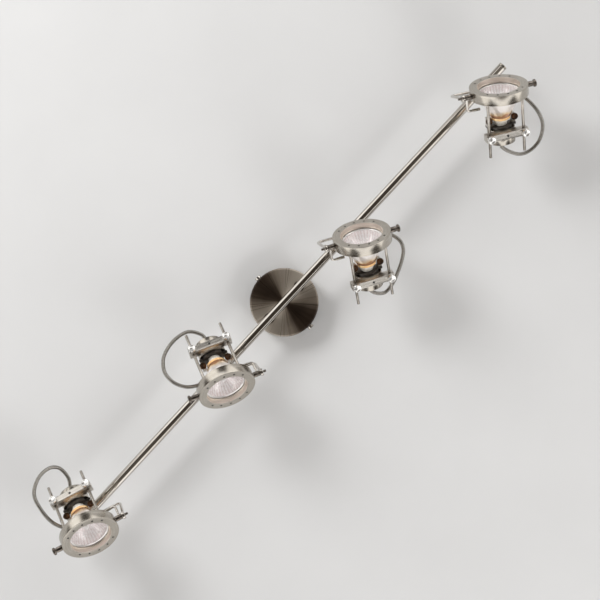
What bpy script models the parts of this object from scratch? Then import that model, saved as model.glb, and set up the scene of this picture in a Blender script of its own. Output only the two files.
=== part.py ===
"""Bar light with a round canopy and four adjustable halogen spot heads.

Frame: +X along the bar, +Z out of the mounting surface, origin at the centre of the mounting
plate's back face.  Metres and degrees.

Each head hangs on three nested frames, made of empties:
  post     on the bar's axis, Z along the leaning swivel stud
  swivel   at the head's pivot centre, Z along the stud, X along the tilt axis
  head     at the same point, Z along the beam of light, X along the tilt axis
"""
import math

import bmesh
import bpy
from mathutils import Matrix, Vector

# ---------------------------------------------------------------- driving dimensions
GAP = 0.0003                    # clearance left between pieces that touch

BAR_LENGTH = 0.800
BAR_RADIUS = 0.0055
BAR_WALL = 0.0012
BAR_HEIGHT = 0.038              # bar axis above the mounting surface
END_CAP_LENGTH = 0.003
END_PLUG_LENGTH = 0.008

CANOPY_RADIUS = 0.043
CANOPY_DEPTH = 0.024
CANOPY_WALL = 0.0015
CANOPY_EDGE = 0.0025            # rounding of the canopy's front edge
PLATE_THICKNESS = 0.002
PLATE_WIDTH = 0.020
EAR_HEIGHT = 0.017
SIDE_SCREW_HEIGHT = 0.012
SIDE_SCREW_RADIUS = 0.002
SIDE_SCREW_HEAD_RADIUS = 0.004
SIDE_SCREW_HEAD_LENGTH = 0.0035
STANDOFF_RADIUS = 0.0065
STANDOFF_OFFSET = 0.027         # from the canopy's centre, along the bar
STANDOFF_STUB_RADIUS = 0.0022

BAR_OVERHANG = 0.03775          # outer heads' studs to the ends of the bar
STUD_LEAN = 17.0                # studs lean from the wall normal, about the bar
HUB_RADIUS = 0.0055
HUB_HEIGHT = 0.006
STUD_NECK_RADIUS = 0.0025
STUD_HEAD_RADIUS = 0.004
STUD_HEAD_HEIGHT = 0.0025
YOKE_WIRE_RADIUS = 0.00175
YOKE_BEND_RADIUS = 0.006
EAR_RADIUS = 0.00475
EAR_THICKNESS = 0.0035

LAMP_RADIUS = 0.025
RING_WIDTH = 0.0105             # lamp's rim to the outside of the ring
YOKE_CLEARANCE = 0.0095         # outside of the ring to the middle of the yoke's hub
HUB_STANDOFF = 0.013            # bar axis to the middle of the yoke's hub
RING_FRONT = 0.007              # ring's front face ahead of the tilt axis
RING_BACK = -0.0054
RING_CHAMFER = 0.0006
LIP_THICKNESS = 0.0012
LIP_OVERLAP = 0.0008            # how far the lip covers the lamp's rim
FACE_HOLE_RADIUS = 0.0010
FACE_HOLE_DEPTH = 0.003
FACE_HOLE_INSET = 0.005         # lamp's rim to the circle of face holes
FACE_HOLE_STEP = 24.0           # angle between neighbouring face holes
FACE_HOLES_A_SIDE = 5

LAMP_CLEARANCE = 0.00075        # lamp rim to the ring's bore
LAMP_LENGTH = 0.0388
LAMP_NECK_RADIUS = 0.012
LAMP_NECK_LENGTH = 0.0074
PIN_RADIUS = 0.0008
PIN_OFFSET = 0.00265
PIN_LENGTH = 0.005

BOSS_RADIUS = 0.0035
BOSS_LENGTH = 0.0084
KNOB_RADIUS = 0.00475
KNOB_LENGTH = 0.0037
PIVOT_SHANK_RADIUS = 0.0022
PIVOT_TIP_RADIUS = 0.0015
PIVOT_TIP_LENGTH = 0.0037
HANDLE_RADIUS = 0.0015
HANDLE_DROP = 0.018             # tilt axis to the handle's grip
HANDLE_REACH = 0.016
HANDLE_BEND_RADIUS = 0.003

GUIDE_RADIUS = 0.00175
GUIDE_OFFSET = 0.022            # guide rods either side of the beam
GUIDE_INSET = 0.0038            # lamp's rim to the circle of the guide rods
GUIDE_SEAT_DEPTH = 0.004
GUIDE_END = 0.076               # far end of the guide rods behind the tilt axis

CARRIER_FRONT = 0.0455          # carrier's front face behind the tilt axis
CARRIER_THICKNESS = 0.009
CARRIER_OVERHANG = 0.005        # carrier's end past each guide rod
CARRIER_FRONT_WALL = 0.0049     # guide rod axis to the carrier's outer face
CARRIER_INNER_FACE = -0.012
BARREL_RADIUS = 0.017
BARREL_LENGTH = 0.0195
BARREL_BASE = 0.003
GLAND_RADIUS = 0.0038
GLAND_LENGTH = 0.0035
THUMB_HEAD_RADIUS = 0.005
THUMB_HEAD_LENGTH = 0.004
THUMB_SHANK_RADIUS = 0.002

SOCKET_RADIUS = 0.013
SOCKET_NECK_RADIUS = 0.0075
SOCKET_DEPTH = 0.012            # socket body inside the carrier's barrel
FLANGE_THICKNESS = 0.003
FLANGE_HALF_WIDTH = 0.005
PILLAR_THICKNESS = 0.005
PILLAR_HALF_WIDTH = 0.004
PILLAR_TOP = 0.0315             # pillar tops behind the tilt axis
PILLAR_CLEARANCE = 0.001        # pillar to the lamp's neck
RIVET_RADIUS = 0.00425
RIVET_LENGTH = 0.0035
RIVET_SINK = 0.0005
RIVET_OFFSET = 0.0007           # rivet's centre outside the pillar's

CONDUIT_RADIUS = 0.0024
CONDUIT_POINTS_PER_SPAN = 2
PORT_RADIUS = 0.0029
PORT_LENGTH = 0.0085            # yoke hub axis to its conduit port's mouth

# Position along the bar in head spacings, swivel angle and tilt angle as the heads are aimed.
HEADS = (
    (-1.5, 159.3, 33.0),
    (-0.5, 152.3, 40.2),
    (0.5, -32.2, 73.4),
    (1.5, -34.9, 73.8),
)

# Route of each conduit between carrier and hub, chosen by hand, in millimetres in the head frame.
CONDUIT_ROUTES = (
    ((-4, -11, -82), (-1, -27, -88), (8, -38, -87), (21, -43, -80), (32, -43, -69),
     (38, -41, -56), (38, -35, -42), (35, -23, -30), (30, -7, -27), (23, 12, -32)),
    ((4, -4, -81), (17, -9, -87), (33, -11, -83), (48, -11, -73), (58, -11, -60),
     (62, -9, -43), (57, -6, -28), (46, 2, -21), (32, 14, -24)),
    ((7, 0, -80), (18, 1, -83), (29, 2, -75), (38, 3, -62), (46, 4, -47),
     (50, 5, -33), (48, 9, -22), (40, 20, -16), (27, 34, -13)),
    ((8, -1, -81), (22, -2, -88), (36, -2, -86), (48, -1, -77), (54, 0, -63),
     (54, 2, -50), (48, 6, -35), (38, 18, -22), (26, 34, -14)),
)

# ---------------------------------------------------------------- values that follow
HALF_BAR = BAR_LENGTH / 2
HEAD_SPACING = (HALF_BAR - BAR_OVERHANG) / 1.5
RING_RADIUS = LAMP_RADIUS + RING_WIDTH
HUB_DROP = RING_RADIUS + YOKE_CLEARANCE
PIVOT_REACH = HUB_DROP + HUB_STANDOFF
FACE_HOLE_CIRCLE = LAMP_RADIUS + FACE_HOLE_INSET
GUIDE_CIRCLE = LAMP_RADIUS + GUIDE_INSET
BORE_RADIUS = LAMP_RADIUS + LAMP_CLEARANCE
GUIDE_Y = -math.sqrt(GUIDE_CIRCLE ** 2 - GUIDE_OFFSET ** 2)
BOSS_START = RING_RADIUS + GAP
BOSS_END = BOSS_START + BOSS_LENGTH
EAR_X = -(BOSS_END + GAP + EAR_THICKNESS / 2)
HANDLE_X = -(BOSS_START + 0.65 * BOSS_LENGTH)
LAMP_FRONT = -GAP
LAMP_BACK = LAMP_FRONT - LAMP_LENGTH
CARRIER_OUTER_Y = GUIDE_Y - CARRIER_FRONT_WALL
CARRIER_BACK = -(CARRIER_FRONT + CARRIER_THICKNESS)
CARRIER_MID_Z = -(CARRIER_FRONT + CARRIER_THICKNESS / 2)
BARREL_BACK = -(CARRIER_FRONT + BARREL_LENGTH)
GLAND_END = BARREL_BACK - GLAND_LENGTH
PILLAR_X = LAMP_NECK_RADIUS + PILLAR_CLEARANCE + PILLAR_THICKNESS / 2
RIVET_Z = -(PILLAR_TOP + RIVET_RADIUS - 0.001)
CANOPY_INNER_RADIUS = CANOPY_RADIUS - CANOPY_WALL
EAR_OUTER_Y = math.sqrt(CANOPY_INNER_RADIUS ** 2 - (PLATE_WIDTH / 2) ** 2) - 4 * GAP


# ---------------------------------------------------------------- scene and helpers
for leftover in list(bpy.data.objects):
    bpy.data.objects.remove(leftover)

PARTS = bpy.data.collections.new("bar_spotlight")
CUTTERS = bpy.data.collections.new("cutters")
for collection in (PARTS, CUTTERS):
    bpy.context.scene.collection.children.link(collection)


def make_material(name, color, roughness, metallic):
    material = bpy.data.materials.new(name)
    material.use_nodes = True
    shader = material.node_tree.nodes["Principled BSDF"]
    shader.inputs["Base Color"].default_value = (*color, 1.0)
    shader.inputs["Roughness"].default_value = roughness
    shader.inputs["Metallic"].default_value = metallic
    material.diffuse_color = (*color, 1.0)
    return material


SATIN_NICKEL = make_material("satin_nickel", (0.62, 0.59, 0.54), 0.32, 1.0)
POLISHED_NICKEL = make_material("polished_nickel", (0.72, 0.69, 0.65), 0.12, 1.0)
ZINC_STEEL = make_material("zinc_steel", (0.55, 0.56, 0.57), 0.45, 1.0)
LAMP_GLASS = make_material("lamp_glass", (0.90, 0.88, 0.84), 0.08, 0.0)
CERAMIC = make_material("ceramic", (0.86, 0.82, 0.70), 0.55, 0.0)
TERMINAL_PLASTIC = make_material("terminal_plastic", (0.85, 0.85, 0.82), 0.50, 0.0)
FLEX_STEEL = make_material("flex_steel", (0.50, 0.48, 0.45), 0.30, 1.0)


def add_object(name, data, material=None, parent=None, matrix=None):
    """Link a new object: a part if it has a material, otherwise a hidden cutter."""
    item = bpy.data.objects.new(name, data)
    if material is None:
        CUTTERS.objects.link(item)
        item.hide_render = True
        item.display_type = "WIRE"
    else:
        PARTS.objects.link(item)
        data.materials.append(material)
    item.parent = parent
    item.matrix_local = matrix or Matrix.Identity(4)
    return item


def add_empty(name, location, rotation, parent=None):
    empty = bpy.data.objects.new(name, None)
    PARTS.objects.link(empty)
    empty.parent = parent
    empty.location = location
    empty.rotation_euler = [math.radians(angle) for angle in rotation]
    return empty


def box_mesh(name, low, high):
    """A cuboid between two corners."""
    low = Vector(low)
    high = Vector(high)
    size = high - low
    mesh = bpy.data.meshes.new(name)
    shape = bmesh.new()
    place = Matrix.Translation((low + high) / 2) @ Matrix.Diagonal((*size, 1.0))
    bmesh.ops.create_cube(shape, size=1.0, matrix=place)
    shape.to_mesh(mesh)
    shape.free()
    return mesh


def rod_mesh(name, radius, start, end, segments=12):
    """A solid cylinder between two points."""
    start = Vector(start)
    end = Vector(end)
    along = end - start
    turn = along.to_track_quat("Z", "X").to_matrix().to_4x4()
    mesh = bpy.data.meshes.new(name)
    shape = bmesh.new()
    bmesh.ops.create_cone(
        shape, cap_ends=True, segments=segments, radius1=radius, radius2=radius,
        depth=along.length, matrix=Matrix.Translation((start + end) / 2) @ turn)
    shape.to_mesh(mesh)
    shape.free()
    mesh.shade_smooth()
    mesh.set_sharp_from_angle(angle=math.radians(35))
    return mesh


def turned(name, profile, steps, material=None, parent=None, matrix=None, closed=False):
    """A turned piece about Z: (radius, height) points from top to bottom down its outer side."""
    mesh = bpy.data.meshes.new(name)
    points = [(radius, 0.0, height) for radius, height in profile]
    edges = [(i, i + 1) for i in range(len(points) - 1)]
    if closed:
        edges.append((len(points) - 1, 0))
    mesh.from_pydata(points, edges, [])
    item = add_object(name, mesh, material, parent, matrix)
    screw = item.modifiers.new("turn", "SCREW")
    screw.steps = steps
    screw.render_steps = steps
    screw.use_merge_vertices = True
    screw.merge_threshold = 0.00001
    screw.use_smooth_shade = True
    return item


def boolean(item, operand, operation="DIFFERENCE"):
    modifier = item.modifiers.new(operand.name, "BOOLEAN")
    modifier.operation = operation
    modifier.object = operand
    modifier.solver = "EXACT"


def cut_rod(item, radius, start, end, parent=None, segments=12):
    """Drill a round hole through a part, between two points of the parent's frame."""
    cutter = add_object(item.name + "_drill", rod_mesh("drill", radius, start, end, segments),
                        parent=parent)
    boolean(item, cutter)


def join(item, mesh, parent=None, matrix=None):
    """Add a solid to a part."""
    operand = add_object(item.name + "_join", mesh, parent=parent, matrix=matrix)
    boolean(item, operand, "UNION")


def wire_mesh(name, points, radius):
    """A round wire along points, as a closed mesh."""
    curve = wire_curve(name, points, radius)
    guide = bpy.data.objects.new(name, curve)
    CUTTERS.objects.link(guide)
    graph = bpy.context.evaluated_depsgraph_get()
    mesh = bpy.data.meshes.new_from_object(guide.evaluated_get(graph))
    bpy.data.objects.remove(guide)
    shape = bmesh.new()
    shape.from_mesh(mesh)
    bmesh.ops.remove_doubles(shape, verts=shape.verts, dist=0.000001)
    bmesh.ops.recalc_face_normals(shape, faces=shape.faces)
    shape.to_mesh(mesh)
    shape.free()
    return mesh


def wire_curve(name, points, radius):
    curve = bpy.data.curves.new(name, "CURVE")
    curve.dimensions = "3D"
    curve.bevel_depth = radius
    curve.bevel_resolution = 2
    curve.use_fill_caps = True
    spline = curve.splines.new("POLY")
    spline.points.add(len(points) - 1)
    for target, point in zip(spline.points, points):
        target.co = (*point, 1.0)
    return curve


def bent_corner(start, corner, end, radius, steps=5):
    """Points from start to end, turning a right-angled corner on an arc."""
    start, corner, end = Vector(start), Vector(corner), Vector(end)
    inward = (start - corner).normalized()
    outward = (end - corner).normalized()
    centre = corner + radius * (inward + outward)
    arc = []
    for i in range(steps + 1):
        angle = math.pi / 2 * i / steps
        arc.append(centre - radius * (outward * math.cos(angle) + inward * math.sin(angle)))
    return [start, *arc, end]


def smooth_route(points, per_span):
    """A Catmull-Rom curve through the points, with straight first and last spans."""
    points = [Vector(point) for point in points]
    route = [points[0]]
    for i in range(1, len(points) - 2):
        a, b, c, d = points[i - 1:i + 3]
        for step in range(per_span):
            t = step / per_span
            route.append(0.5 * (2 * b + (c - a) * t + (2 * a - 5 * b + 4 * c - d) * t ** 2
                                + (3 * b - a - 3 * c + d) * t ** 3))
    return [*route, points[-2], points[-1]]


ALONG_X = Matrix.Rotation(math.radians(90), 4, "Y")     # turns Z into X
ALONG_Y = Matrix.Rotation(math.radians(-90), 4, "X")    # turns Z into Y


# ---------------------------------------------------------------- canopy and bar
def build_mounting_plate():
    """Strap screwed to the wall or ceiling, with upturned ears for the canopy's side screws."""
    half = PLATE_WIDTH / 2
    plate = add_object("mounting_plate", box_mesh(
        "mounting_plate", (-half, -EAR_OUTER_Y, 0), (half, EAR_OUTER_Y, PLATE_THICKNESS)),
        ZINC_STEEL)
    for side in (-1, 1):
        outer = side * EAR_OUTER_Y
        inner = side * (EAR_OUTER_Y - PLATE_THICKNESS)
        low = (-half, min(inner, outer), PLATE_THICKNESS / 2)
        high = (half, max(inner, outer), EAR_HEIGHT)
        join(plate, box_mesh("ear", low, high))
    reach = EAR_OUTER_Y + PLATE_THICKNESS
    cut_rod(plate, SIDE_SCREW_RADIUS + GAP, (0, -reach, SIDE_SCREW_HEIGHT),
            (0, reach, SIDE_SCREW_HEIGHT))
    wall_screw_hole = 0.0025
    wall_screw_offset = 0.025
    cable_hole = 0.004
    cable_offset = 0.013
    below = -PLATE_THICKNESS
    above = 2 * PLATE_THICKNESS
    for side in (-1, 1):
        y = side * wall_screw_offset
        cut_rod(plate, wall_screw_hole, (0, y, below), (0, y, above))
    cut_rod(plate, cable_hole, (0, cable_offset, below), (0, cable_offset, above))


def build_canopy():
    """Shallow round cup, open at the wall."""
    top = CANOPY_DEPTH
    inner_top = CANOPY_DEPTH - CANOPY_WALL
    edge = []
    for i in range(4):
        angle = math.radians(90 - 30 * i)
        edge.append((CANOPY_RADIUS - CANOPY_EDGE * (1 - math.cos(angle)),
                     top - CANOPY_EDGE * (1 - math.sin(angle))))
    profile = [(0, top), *edge, (CANOPY_RADIUS, 0), (CANOPY_INNER_RADIUS, 0),
               (CANOPY_INNER_RADIUS, inner_top - CANOPY_WALL),
               (CANOPY_INNER_RADIUS - CANOPY_WALL, inner_top), (0, inner_top)]
    canopy = turned("canopy", profile, 32, SATIN_NICKEL)
    reach = CANOPY_RADIUS + CANOPY_WALL
    cut_rod(canopy, SIDE_SCREW_RADIUS + GAP, (0, -reach, SIDE_SCREW_HEIGHT),
            (0, reach, SIDE_SCREW_HEIGHT))
    for side in (-1, 1):
        x = side * STANDOFF_OFFSET
        cut_rod(canopy, STANDOFF_STUB_RADIUS + GAP, (x, 0, inner_top - CANOPY_WALL),
                (x, 0, top + CANOPY_WALL))


def build_side_screws():
    """Two knurled screws that hold the canopy to the plate's ears."""
    head = SIDE_SCREW_HEAD_LENGTH
    shank = CANOPY_RADIUS - EAR_OUTER_Y + 2 * PLATE_THICKNESS
    profile = [(0, head), (SIDE_SCREW_HEAD_RADIUS - GAP, head),
               (SIDE_SCREW_HEAD_RADIUS, head - GAP), (SIDE_SCREW_HEAD_RADIUS, 0),
               (SIDE_SCREW_RADIUS, 0), (SIDE_SCREW_RADIUS, -shank), (0, -shank)]
    for label, side in (("lower", -1), ("upper", 1)):
        place = Matrix.Translation((0, side * (CANOPY_RADIUS + GAP), SIDE_SCREW_HEIGHT))
        turn = Matrix.Rotation(math.radians(-90 * side), 4, "X")
        turned("canopy_side_screw_" + label, profile, 12, POLISHED_NICKEL, matrix=place @ turn)


def build_standoffs():
    """Two saddles that carry the bar on the canopy."""
    bottom = CANOPY_DEPTH + GAP
    stub = CANOPY_DEPTH - 3 * CANOPY_WALL
    profile = [(0, BAR_HEIGHT), (STANDOFF_RADIUS, BAR_HEIGHT), (STANDOFF_RADIUS, bottom),
               (STANDOFF_STUB_RADIUS, bottom), (STANDOFF_STUB_RADIUS, stub), (0, stub)]
    for label, side in (("left", -1), ("right", 1)):
        place = Matrix.Translation((side * STANDOFF_OFFSET, 0, 0))
        standoff = turned("bar_standoff_" + label, profile, 16, SATIN_NICKEL, matrix=place)
        cut_rod(standoff, BAR_RADIUS + GAP, (-HALF_BAR, 0, BAR_HEIGHT),
                (HALF_BAR, 0, BAR_HEIGHT), segments=20)


def build_terminal_block():
    """Screw terminals on the plate, for the supply and the heads' wires."""
    half_x, half_y, height = 0.012, 0.007, 0.010
    middle_y = -0.012
    bottom = PLATE_THICKNESS + GAP
    block = add_object("terminal_block", box_mesh(
        "terminal_block", (-half_x, middle_y - half_y, bottom),
        (half_x, middle_y + half_y, bottom + height)), TERMINAL_PLASTIC)
    wire_hole = 0.0016
    pitch = 0.008
    for i in (-1, 0, 1):
        x = i * pitch
        z = bottom + height / 2
        cut_rod(block, wire_hole, (x, middle_y - 2 * half_y, z), (x, middle_y + 2 * half_y, z),
                segments=8)


def build_bar(posts):
    """Hollow bar with a wiring hole under each swivel stud."""
    reach = HALF_BAR - END_CAP_LENGTH - GAP
    bore = BAR_RADIUS - BAR_WALL
    place = Matrix.Translation((0, 0, BAR_HEIGHT)) @ ALONG_X
    profile = [(BAR_RADIUS, reach), (BAR_RADIUS, -reach), (bore, -reach), (bore, reach)]
    bar = turned("bar_tube", profile, 20, POLISHED_NICKEL, matrix=place, closed=True)
    for post in posts:
        cut_rod(bar, STUD_NECK_RADIUS + GAP, (0, 0, bore / 2), (0, 0, 2 * BAR_RADIUS), parent=post)


def build_end_caps():
    bore = BAR_RADIUS - BAR_WALL
    start = END_CAP_LENGTH
    profile = [(0, start), (BAR_RADIUS - 3 * GAP, start), (BAR_RADIUS, start - 3 * GAP),
               (BAR_RADIUS, 0), (bore - GAP, 0), (bore - GAP, -END_PLUG_LENGTH),
               (0, -END_PLUG_LENGTH)]
    for label, side in (("left", -1), ("right", 1)):
        place = Matrix.Translation((side * (HALF_BAR - END_CAP_LENGTH), 0, BAR_HEIGHT))
        turn = Matrix.Rotation(math.radians(90 * side), 4, "Y")
        turned("bar_end_cap_" + label, profile, 16, POLISHED_NICKEL, matrix=place @ turn)


# ---------------------------------------------------------------- one spot head
def build_stud(name, post):
    """Stud screwed into the bar, that the yoke's hub swivels on."""
    hub_middle = PIVOT_REACH - HUB_DROP
    hub_top = hub_middle + HUB_HEIGHT / 2 + GAP
    hub_bottom = hub_middle - HUB_HEIGHT / 2 - GAP
    top = hub_top + STUD_HEAD_HEIGHT
    edge = 0.0004
    collar_radius = 0.0042
    profile = [(0, top), (STUD_HEAD_RADIUS - edge, top), (STUD_HEAD_RADIUS, top - edge),
               (STUD_HEAD_RADIUS, hub_top), (STUD_NECK_RADIUS, hub_top),
               (STUD_NECK_RADIUS, hub_bottom), (collar_radius, hub_bottom),
               (collar_radius, BAR_RADIUS + GAP), (STUD_NECK_RADIUS, BAR_RADIUS + GAP),
               (STUD_NECK_RADIUS, BAR_RADIUS / 2), (0, BAR_RADIUS / 2)]
    turned(name, profile, 10, POLISHED_NICKEL, post)


def build_yoke(name, swivel):
    """Bent wire from the stud's hub to the ear on the tilt axis, with a conduit port."""
    foot = (0, 0, -HUB_DROP)
    corner = (EAR_X, 0, -HUB_DROP)
    ear_bottom = (EAR_X, 0, -(PIVOT_SHANK_RADIUS + EAR_RADIUS) / 2)
    yoke = add_object(name, rod_mesh(
        name, HUB_RADIUS, (0, 0, -HUB_DROP - HUB_HEIGHT / 2), (0, 0, -HUB_DROP + HUB_HEIGHT / 2), 12),
        POLISHED_NICKEL, swivel)
    join(yoke, wire_mesh("wire", bent_corner(foot, corner, ear_bottom, YOKE_BEND_RADIUS),
                         YOKE_WIRE_RADIUS), swivel)
    half_ear = EAR_THICKNESS / 2
    join(yoke, rod_mesh("ear", EAR_RADIUS, (EAR_X - half_ear, 0, 0), (EAR_X + half_ear, 0, 0), 12),
         swivel)
    join(yoke, rod_mesh("port", PORT_RADIUS, (0, 0, -HUB_DROP), (PORT_LENGTH, 0, -HUB_DROP), 8),
         swivel)
    cut_rod(yoke, PIVOT_SHANK_RADIUS + GAP, (EAR_X - EAR_THICKNESS, 0, 0),
            (EAR_X + EAR_THICKNESS, 0, 0), swivel)
    cut_rod(yoke, STUD_NECK_RADIUS + GAP, (0, 0, -HUB_DROP - HUB_HEIGHT),
            (0, 0, -HUB_DROP + HUB_HEIGHT), swivel)


def build_ring(name, head):
    """Front ring and its two swaged-in guide rods.

    An inner lip stops the lamp's rim, and small holes dot the face.
    """
    bore = BORE_RADIUS
    lip = LAMP_RADIUS - LIP_OVERLAP
    outer = RING_RADIUS
    edge = RING_CHAMFER
    profile = [(bore, RING_FRONT), (outer - edge, RING_FRONT), (outer, RING_FRONT - edge),
               (outer, RING_BACK), (bore, RING_BACK),
               (bore, 0), (lip, 0), (lip, LIP_THICKNESS), (bore, LIP_THICKNESS)]
    ring = turned(name, profile, 32, SATIN_NICKEL, head, closed=True)
    first = -FACE_HOLE_STEP * (FACE_HOLES_A_SIDE - 1) / 2
    for side in (90, 270):
        for i in range(FACE_HOLES_A_SIDE):
            angle = math.radians(side + first + i * FACE_HOLE_STEP)
            x = FACE_HOLE_CIRCLE * math.cos(angle)
            y = FACE_HOLE_CIRCLE * math.sin(angle)
            cut_rod(ring, FACE_HOLE_RADIUS, (x, y, RING_FRONT - FACE_HOLE_DEPTH),
                    (x, y, RING_FRONT + FACE_HOLE_DEPTH), head, 6)
    for side in (-1, 1):
        x = side * GUIDE_OFFSET
        join(ring, rod_mesh("guide_rod", GUIDE_RADIUS, (x, GUIDE_Y, -GUIDE_END),
                            (x, GUIDE_Y, RING_BACK + GUIDE_SEAT_DEPTH)), head)


def build_pivot_pin(name, head):
    """Boss on the ring with the shank that turns in the yoke's ear."""
    ear_end = BOSS_END + 2 * GAP + EAR_THICKNESS
    tip_end = ear_end + PIVOT_TIP_LENGTH
    profile = [(0, tip_end), (PIVOT_TIP_RADIUS, tip_end), (PIVOT_TIP_RADIUS, ear_end),
               (PIVOT_SHANK_RADIUS, ear_end), (PIVOT_SHANK_RADIUS, BOSS_END),
               (BOSS_RADIUS, BOSS_END), (BOSS_RADIUS, BOSS_START), (0, BOSS_START)]
    place = Matrix.Rotation(math.radians(-90), 4, "Y")
    pin = turned(name, profile, 12, POLISHED_NICKEL, head, place)
    cut_rod(pin, HANDLE_RADIUS + GAP, (HANDLE_X, 0, -BOSS_RADIUS / 3),
            (HANDLE_X, 0, -2 * BOSS_RADIUS), head, 8)


def build_side_knob(name, head):
    """Plain boss and knob opposite the pivot."""
    end = BOSS_END + KNOB_LENGTH
    edge = 0.0005
    profile = [(0, end), (KNOB_RADIUS - edge, end), (KNOB_RADIUS, end - edge),
               (KNOB_RADIUS, BOSS_END), (BOSS_RADIUS, BOSS_END), (BOSS_RADIUS, BOSS_START),
               (0, BOSS_START)]
    turned(name, profile, 12, POLISHED_NICKEL, head, ALONG_X)


def build_aim_handle(name, head):
    """Bent wire handle set in the pivot boss, to aim the hot head with."""
    start = (HANDLE_X, 0, -BOSS_RADIUS / 3 - GAP)
    corner = (HANDLE_X, 0, -HANDLE_DROP)
    end = (HANDLE_X + HANDLE_REACH, 0, -HANDLE_DROP)
    points = bent_corner(start, corner, end, HANDLE_BEND_RADIUS, 4)
    add_object(name, wire_mesh(name, points, HANDLE_RADIUS), POLISHED_NICKEL, head)


def build_lamp(name, head):
    """Reflector lamp: front rim, reflector bowl, base and two pins."""
    neck_top = LAMP_BACK + LAMP_NECK_LENGTH
    rim_back = LAMP_FRONT - 0.0035
    bowl_length = rim_back - neck_top
    bowl = []
    for i in range(4):
        share = i / 4
        radius = LAMP_NECK_RADIUS + (LAMP_RADIUS - 0.0007 - LAMP_NECK_RADIUS) * (1 - share ** 1.35)
        bowl.append((radius, rim_back - bowl_length * share))
    edge = 0.0004
    profile = [(0, LAMP_FRONT), (LAMP_RADIUS - edge, LAMP_FRONT), (LAMP_RADIUS, LAMP_FRONT - edge),
               (LAMP_RADIUS, rim_back), *bowl, (LAMP_NECK_RADIUS, neck_top),
               (LAMP_NECK_RADIUS, LAMP_BACK), (0, LAMP_BACK)]
    lamp = turned(name, profile, 20, LAMP_GLASS, head)
    for side in (-1, 1):
        x = side * PIN_OFFSET
        join(lamp, rod_mesh("pin", PIN_RADIUS, (x, 0, LAMP_BACK + PIN_RADIUS),
                            (x, 0, LAMP_BACK - PIN_LENGTH), 6), head)


def build_socket(name, head):
    """Ceramic socket: body in the barrel, flange across its mouth, neck and two pillars.

    A rivet with a broad round head sits on the near face of each pillar.
    """
    flange_back = -CARRIER_FRONT + GAP
    flange_front = flange_back + FLANGE_THICKNESS
    flange_half = PILLAR_X + PILLAR_THICKNESS / 2
    socket = add_object(name, box_mesh(
        name, (-flange_half, -FLANGE_HALF_WIDTH, flange_back),
        (flange_half, FLANGE_HALF_WIDTH, flange_front)), CERAMIC, head)
    middle = (flange_back + flange_front) / 2
    join(socket, rod_mesh("body", SOCKET_RADIUS, (0, 0, -CARRIER_FRONT - SOCKET_DEPTH),
                          (0, 0, middle), 20), head)
    join(socket, rod_mesh("neck", SOCKET_NECK_RADIUS, (0, 0, middle), (0, 0, LAMP_BACK - GAP), 12), head)
    for side in (-1, 1):
        x = side * PILLAR_X
        half = PILLAR_THICKNESS / 2
        join(socket, box_mesh("pillar", (x - half, -PILLAR_HALF_WIDTH, middle),
                              (x + half, PILLAR_HALF_WIDTH, -PILLAR_TOP)), head)
        pin_x = side * PIN_OFFSET
        cut_rod(socket, PIN_RADIUS + GAP, (pin_x, 0, LAMP_BACK + PIN_LENGTH),
                (pin_x, 0, LAMP_BACK - PIN_LENGTH - GAP), head, 6)
        rivet_x = side * (PILLAR_X + RIVET_OFFSET)
        join(socket, rod_mesh("rivet", RIVET_RADIUS, (rivet_x, RIVET_SINK - PILLAR_HALF_WIDTH, RIVET_Z),
                              (rivet_x, -PILLAR_HALF_WIDTH - RIVET_LENGTH, RIVET_Z), 10), head)


def build_carrier(name, head):
    """Bar that slides on the guide rods, with the barrel that houses the socket."""
    half = GUIDE_OFFSET + CARRIER_OVERHANG
    carrier = add_object(name, box_mesh(
        name, (-half, CARRIER_OUTER_Y, CARRIER_BACK), (half, CARRIER_INNER_FACE, -CARRIER_FRONT)),
        SATIN_NICKEL, head)
    join(carrier, rod_mesh("barrel", BARREL_RADIUS, (0, 0, BARREL_BACK),
                           (0, 0, -CARRIER_FRONT - 2 * GAP), 20), head)
    join(carrier, rod_mesh("gland", GLAND_RADIUS, (0, 0, GLAND_END),
                           (0, 0, BARREL_BACK + BARREL_BASE / 2), 8), head)
    cut_rod(carrier, SOCKET_RADIUS + GAP, (0, 0, BARREL_BACK + BARREL_BASE),
            (0, 0, -CARRIER_FRONT + BARREL_BASE), head, 20)
    for side in (-1, 1):
        x = side * GUIDE_OFFSET
        cut_rod(carrier, GUIDE_RADIUS + GAP, (x, GUIDE_Y, CARRIER_BACK - CARRIER_THICKNESS),
                (x, GUIDE_Y, -CARRIER_FRONT + CARRIER_THICKNESS), head)
        cut_rod(carrier, THUMB_SHANK_RADIUS + GAP, (x, CARRIER_OUTER_Y - THUMB_HEAD_LENGTH,
                CARRIER_MID_Z), (x, GUIDE_Y, CARRIER_MID_Z), head, 10)


def build_thumb_screw(name, head, side):
    """Flat-headed thumb screw whose tip clamps a guide rod."""
    shank = CARRIER_FRONT_WALL - GUIDE_RADIUS
    edge = 0.0005
    profile = [(0, THUMB_HEAD_LENGTH), (THUMB_HEAD_RADIUS - edge, THUMB_HEAD_LENGTH),
               (THUMB_HEAD_RADIUS, THUMB_HEAD_LENGTH - edge), (THUMB_HEAD_RADIUS, 0),
               (THUMB_SHANK_RADIUS, 0), (THUMB_SHANK_RADIUS, -shank), (0, -shank)]
    place = Matrix.Translation((side * GUIDE_OFFSET, CARRIER_OUTER_Y - GAP, CARRIER_MID_Z))
    turned(name, profile, 12, SATIN_NICKEL, head, place @ Matrix.Rotation(math.radians(90), 4, "X"))


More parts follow.
